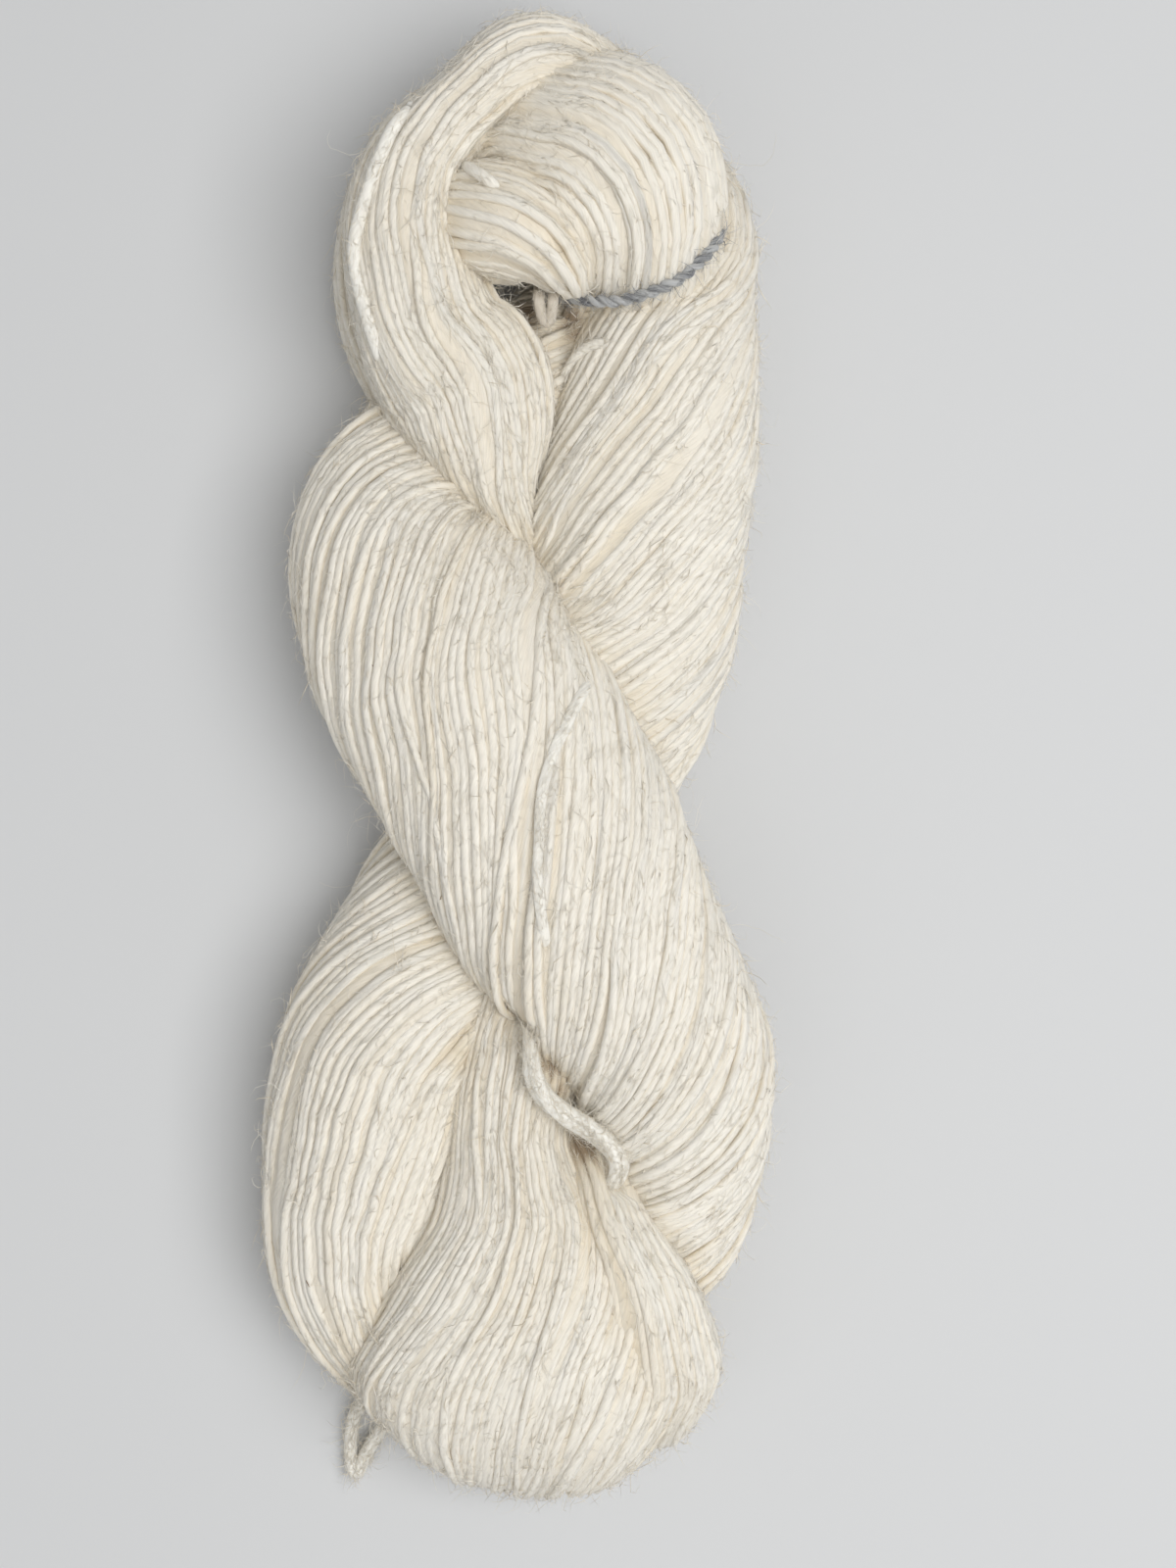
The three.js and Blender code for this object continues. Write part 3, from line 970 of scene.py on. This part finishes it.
def laid_route(seen_from_above, spacing, radius, sunk):
    """A yarn's middle where it lies on the hank, and the distance along it."""
    flat = np.array(seen_from_above, float) - HANK_MIDDLE[:2]
    rows = np.column_stack([flat, np.zeros(len(flat))])
    places, _ = even_places(rows, spacing)
    points = spline(rows, places)
    heights = surface_height(points[:, :2])
    # It is too stiff to follow each yarn under it, so its heights are evened out on both sides
    evened = 6
    window = np.hanning(2 * round(evened / spacing) + 3)
    padded = np.pad(heights, len(window) // 2, mode="edge")
    even = np.convolve(padded, window / window.sum(), "valid")
    points[:, 2] = np.minimum(even, heights + 0.2) + radius - sunk
    steps = np.linalg.norm(np.diff(points, axis=0), axis=1)
    return points, np.concatenate([[0], np.cumsum(steps)])


class HANK_OT_slack_yarns(Operator):
    """Slack yarns that lie on the wound ones"""

    bl_idname = "hank.slack_yarns"
    bl_label = "Slack yarns"

    def execute(self, context):
        rng = np.random.default_rng(5)
        white = bpy.data.materials["White wool, slack singles"]
        for name, (width, thickness, sunk, tint, places) in SLACK_YARNS.items():
            if len(places[0]) == 3:
                middle, along = route(places, 1.0)
            else:
                middle, along = laid_route(places, 1.0, thickness / 2, sunk)
            radii = width / 2 * (1 + wander(rng, 1, along, 0.14, 9))
            # Both ends dive between the other yarns
            dive, dive_length = 2.2, min(6, along[-1] / 4)
            from_end = np.minimum(along, along[-1] - along)
            middle[:, 2] -= dive * (1 - smooth(from_end / dive_length))
            rings = tube_rings(middle[None], radii, FREE_SIDES)
            rings[..., 2] += (thickness / width - 1) * (rings[..., 2] - middle[None, :, None, 2])
            piece = skins(
                "slack_yarn_" + name, rings, blunt_tips(middle[None], radii), along,
                tint + dust_and_shade_tint(rings), white,
            )
            FREE[name] = (middle[None], radii)
        return {"FINISHED"}


def fibre_roots(rng, count, steepest=1.0):
    """Places on the outer yarns that show: the point, the way out and the way along the yarn. A
    low limit on how steeply the way out may rise keeps them to the hank's outline."""
    found = []
    sections = sum(radii.size for _, _, radii, _ in SKIN.values())
    # Most places are hidden, so there are several tries for each fibre
    tries_each = 5 / (0.2 + steepest)
    for name, (_, middles, radii, out) in SKIN.items():
        tries = round(tries_each * count * radii.size / sections)
        k = rng.integers(0, middles.shape[0], tries)
        i = rng.integers(1, middles.shape[1] - 1, tries)
        ahead = unit(middles[k, i + 1] - middles[k, i - 1])
        # Anywhere on the yarn's outer side
        lean = rng.uniform(-1.1, 1.1, tries)[:, None]
        way_out = unit(np.cos(lean) * out[k, i] + np.sin(lean) * np.cross(ahead, out[k, i]))
        share = rng.random(tries)[:, None]
        point = middles[k, i] * (1 - share) + middles[k, i + 1] * share
        rooted = 0.8
        point = point + way_out * radii[k, i][:, None] * rooted
        # Fewer underneath, where the hank lies on the floor, and more where the wool has felted
        shows = (way_out[:, 2] > -0.3) | ((point[:, 2] > 1.2) & (rng.random(tries) < 0.4))
        shows &= way_out[:, 2] < steepest
        for other, (other_bundle, _, _, _) in SKIN.items():
            if other != name:
                shows &= other_bundle.reach(point) > 0.9
        shows &= rng.random(tries) < 0.5 + 0.5 * felted(point)
        found.append(np.concatenate([point, way_out, ahead], axis=1)[shows])
    roots = np.concatenate(found)
    roots = roots[rng.permutation(len(roots))[:count]]
    return roots[:, :3], roots[:, 3:6], roots[:, 6:]


def free_roots(rng, name, count):
    """Places all round a yarn that lies free, with the ways out and along."""
    middles, radii = FREE[name]
    k = rng.integers(0, middles.shape[0], count)
    i = rng.integers(1, middles.shape[1] - 1, count)
    ahead = unit(middles[k, i + 1] - middles[k, i - 1])
    out = rng.normal(0, 1, (count, 3)) + (0, 0, 0.8)
    out = unit(out - ahead * (out * ahead).sum(1, keepdims=True))
    return middles[k, i] + out * radii[k, i][:, None] * 0.85, out, ahead


def fibre_paths(rng, roots, lengths, lift, steps, curl):
    """Curled paths of single fibres, each from its root out of the yarn. Each runs either way
    along its yarn, turns aside and rises, and then dives back to it or not."""
    point, out, ahead = roots
    aside = np.cross(ahead, out)
    count = len(point)
    way = rng.choice([-1.0, 1.0], count)[:, None]
    heading = rng.normal(0, 0.28 * curl, count)[:, None]
    bend = rng.normal(0, curl, count)[:, None]
    dive = rng.normal(0.2, 0.55, count)[:, None]
    paths = [point]
    for i in range(steps):
        share = (i + 0.5) / steps
        turn = heading + bend * share
        rise = lift[:, None] * (1 - share * (1 + dive))
        step = unit(np.cos(turn) * way * ahead + np.sin(turn) * aside + rise * out)
        step = unit(step + rng.normal(0, 0.16, (count, 3)))
        paths.append(paths[-1] + step * lengths[:, None] / steps)
    paths = np.stack(paths, axis=1)
    off_floor = 0.15
    paths[..., 2] = np.maximum(paths[..., 2], off_floor)
    return paths


def fibre_piece(name, paths, thickness, material, tint=0.0):
    """One piece of fibres, each thinner towards its free end."""
    inner = paths[:, 1:-1]
    count = inner.shape[1]
    radii = thickness[:, None] / 2 * np.linspace(1.0, 0.6, count)
    rings = tube_rings(inner, radii, FIBRE_SIDES, unit(paths[:, 2:] - paths[:, :-2]))
    return skins(name, rings, paths[:, [0, -1]], np.arange(count) * 1.0, tint, material)


class HANK_OT_fibres(Operator):
    """Loose fibres: a low veil on the yarns, a soft halo all round and a few long stray hairs"""

    bl_idname = "hank.fibres"
    bl_label = "Loose fibres"

    def execute(self, context):
        sizes, colours = context.scene.hank_sizes, context.scene.hank_colours
        rng = np.random.default_rng(11)
        fuzz = fibre_material("Loose wool fibres", colours.cream, colours.tan)
        grey = fibre_material("Loose grey fibres", colours.light_grey, colours.dark_grey)
        fibre = sizes.fibre / MM

        def grow(name, roots, material, length, lift, steps, curl, thick):
            count = len(roots[0])
            lengths = np.clip(rng.lognormal(math.log(length), 0.4, count), 1.5, 2.6 * length)
            lifts = np.clip(rng.lognormal(math.log(lift), 0.7, count), 0.03, 1.4)
            paths = fibre_paths(rng, roots, lengths, lifts, steps, curl)
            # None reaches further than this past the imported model
            margin = 8.0
            low, high = np.array(CAD_BOX) / MM + [[-margin], [margin]]
            paths = paths[((paths > low) & (paths < high)).all((1, 2))]
            thickness = fibre * thick * np.clip(rng.lognormal(0, 0.45, len(paths)), 0.6, 2.6)
            tint = rng.random((len(paths), 1)) ** 2
            return fibre_piece(name, paths, thickness, material, tint)

        # Most lie low along the yarns and veil them, some stand out all round as a halo
        for part in "abc":
            roots = fibre_roots(rng, sizes.fibres // 3)
            grow("low_fibres_" + part, roots, fuzz, **LOW_FIBRES)
        for name, steepest in (("halo_fibres", 1.0), ("outline_fibres", 0.5)):
            roots = fibre_roots(rng, sizes.halo // 2, steepest)
            grow(name, roots, fuzz, **HALO_FIBRES)
        roots = fibre_roots(rng, LONG_HAIR_COUNT)
        grow("long_hairs", roots, fuzz, **LONG_HAIRS)
        for name, count in FREE_FIBRE_COUNTS.items():
            roots = free_roots(rng, name, count)
            material, slot = (grey, "grey_wool") if name == "tie" else (fuzz, "white_wool")
            grow(name + "_fibres", roots, material, **FREE_FIBRES)
        return {"FINISHED"}


class HANK_OT_straw(Operator):
    """Bits of straw that came with the fleece and stayed in the yarn"""

    bl_idname = "hank.straw"
    bl_label = "Straw"

    def execute(self, context):
        colours = context.scene.hank_colours
        rng = np.random.default_rng(8)
        straw = plain_material("Dry straw", colours.straw, 0.7)
        roots = fibre_roots(rng, STRAW_COUNT)
        lengths = rng.uniform(0.8, 2.4, len(roots[0]))
        lifts = np.full(len(lengths), 0.1)
        paths = fibre_paths(rng, roots, lengths, lifts, steps=4, curl=1.0)
        thickness = rng.uniform(0.12, 0.3, len(paths))
        fibre_piece("straw_bits", paths, thickness, straw)
        return {"FINISHED"}


class HANK_PT_panel(Panel):
    """Sizes, colours and the steps that build the hank"""

    bl_label = "Handspun hank"
    bl_idname = "HANK_PT_panel"
    bl_space_type = "VIEW_3D"
    bl_region_type = "UI"
    bl_category = "Hank"

    def draw(self, context):
        for settings in (context.scene.hank_sizes, context.scene.hank_colours):
            box = self.layout.box()
            for name in settings.__annotations__:
                box.prop(settings, name)
        for step in STEPS:
            self.layout.operator(step.bl_idname)


STEPS = (
    HANK_OT_stage, HANK_OT_free_yarns, HANK_OT_wound_yarns, HANK_OT_slack_yarns, HANK_OT_fibres,
    HANK_OT_straw,
)
CLASSES = (HankSizes, HankColours, *STEPS, HANK_PT_panel)


def register():
    for item in CLASSES:
        bpy.utils.register_class(item)
    bpy.types.Scene.hank_sizes = PointerProperty(type=HankSizes)
    bpy.types.Scene.hank_colours = PointerProperty(type=HankColours)


def unregister():
    del bpy.types.Scene.hank_colours
    del bpy.types.Scene.hank_sizes
    for item in reversed(CLASSES):
        bpy.utils.unregister_class(item)


def main():
    register()
    bpy.ops.hank.stage()
    bpy.ops.hank.free_yarns()
    bpy.ops.hank.wound_yarns()
    bpy.ops.hank.slack_yarns()
    bpy.ops.hank.fibres()
    bpy.ops.hank.straw()


if __name__ == "__main__":
    main()
